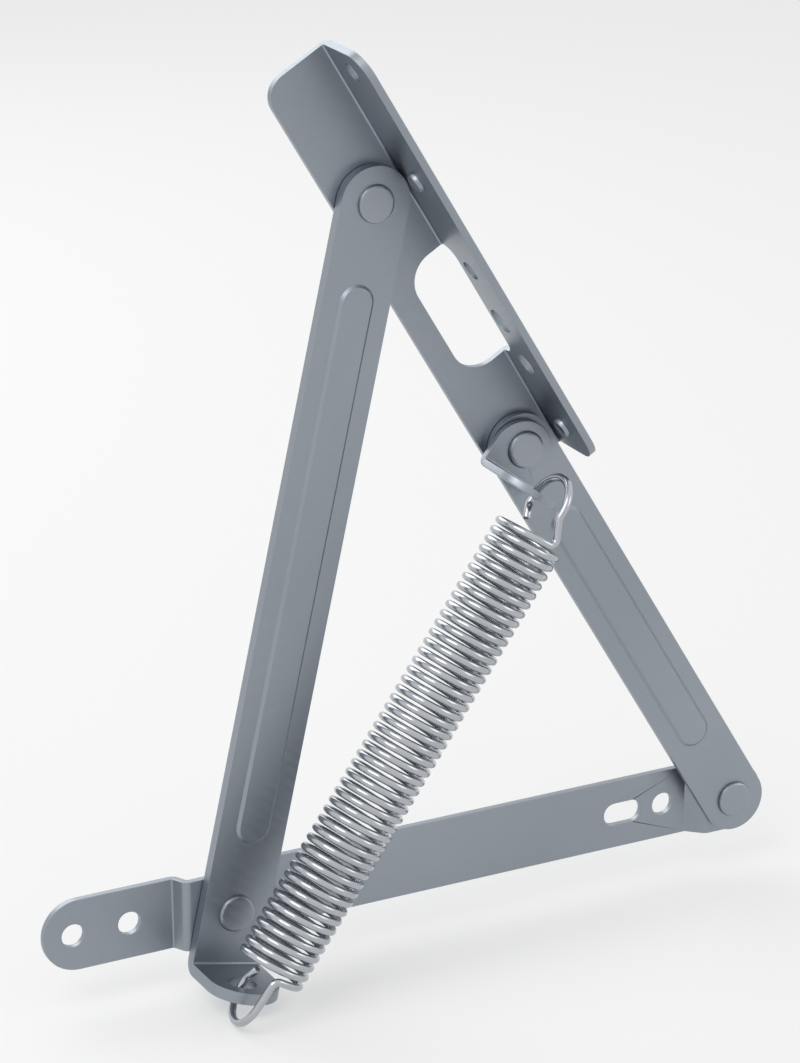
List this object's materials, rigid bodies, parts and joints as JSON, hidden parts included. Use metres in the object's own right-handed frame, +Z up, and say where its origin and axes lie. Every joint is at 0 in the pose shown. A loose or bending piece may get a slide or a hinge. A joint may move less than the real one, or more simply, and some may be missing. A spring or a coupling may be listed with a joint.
{
  "type": "sprung lid stay",
  "caption": "Folding lid stay of zinc-plated sheet steel: base bar, ribbed arms, angled lid bracket with screw flange, riveted pivots and a tension spring that lifts the lid.",
  "frame": {"origin": "midway between the two fixing holes at the left end of the base bar, on the bar's back face, which lies against the cabinet side", "axes": "+X along the base bar towards its far end, +Y from the bar into the cabinet side, +Z up; the pivots all turn about Y"},
  "size_m": [0.2694, 0.0505, 0.3144],
  "materials": {
    "plate": "zinc-plated sheet steel, satin",
    "rivet": "zinc-plated steel, smoother than the sheet",
    "spring_wire": "bright zinc-plated spring wire, glossy"
  },
  "bodies": {
    "base": {"base_bar": "plate", "rivet_a": "rivet", "rivet_d_tail": "rivet"},
    "left_arm": {"left_arm": "plate", "rivet_b": "rivet"},
    "lid_bracket": {"lid_bracket": "plate", "flange_stud_upper": "rivet", "flange_stud_lower": "rivet", "rivet_c": "rivet"},
    "right_arm": {"right_arm": "plate", "rivet_d": "rivet"},
    "spring_hanger": {"spring_hanger": "plate"},
    "spring": {"spring_coil": "spring_wire"},
    "spring_end": {"spring_hook": "spring_wire"}
  },
  "joints": [
    {"name": "left_arm_fold", "type": "hinge", "parent": "base", "child": "left_arm", "pos_m": [0.0441, -0.0077, 0], "axis": [0, 1, 0], "range_deg": [0, 50.74], "stiffness_Nm_per_rad": 21.7, "springref_deg": -4.76},
    {"name": "bracket_fold", "type": "hinge", "parent": "left_arm", "child": "lid_bracket", "pos_m": [0.09886, -0.0077, 0.23449], "axis": [0, 1, 0], "range_deg": [-110.36, 0]},
    {"name": "right_arm_fold", "type": "hinge", "parent": "lid_bracket", "child": "right_arm", "pos_m": [0.15191, -0.0077, 0.14399], "axis": [0, 1, 0], "range_deg": [0, 140.57]},
    {"name": "hanger_swing", "type": "hinge", "parent": "lid_bracket", "child": "spring_hanger", "pos_m": [0.15191, -0.0077, 0.14399], "axis": [0, 1, 0], "range_deg": [0, 95.87]},
    {"name": "spring_swing", "type": "hinge", "parent": "left_arm", "child": "spring", "pos_m": [0.03953, -0.0371, -0.01957], "axis": [0, 1, 0], "range_deg": [-14.49, 0]},
    {"name": "spring_stretch", "type": "slide", "parent": "spring", "child": "spring_end", "axis": [0.5841, 0, 0.8117], "range_m": [0, 0.15965], "deforming": ["spring_coil", "spring_hook"]}
  ],
  "couplings": [
    {"joint": "bracket_fold", "follows": "left_arm_fold", "ratio": -2.1752},
    {"joint": "right_arm_fold", "follows": "left_arm_fold", "ratio": 2.7706},
    {"joint": "hanger_swing", "follows": "left_arm_fold", "ratio": 1.8896},
    {"joint": "spring_swing", "follows": "left_arm_fold", "ratio": -0.28562},
    {"joint": "spring_stretch", "follows": "left_arm_fold", "m_per_rad": 0.18029}
  ]
}
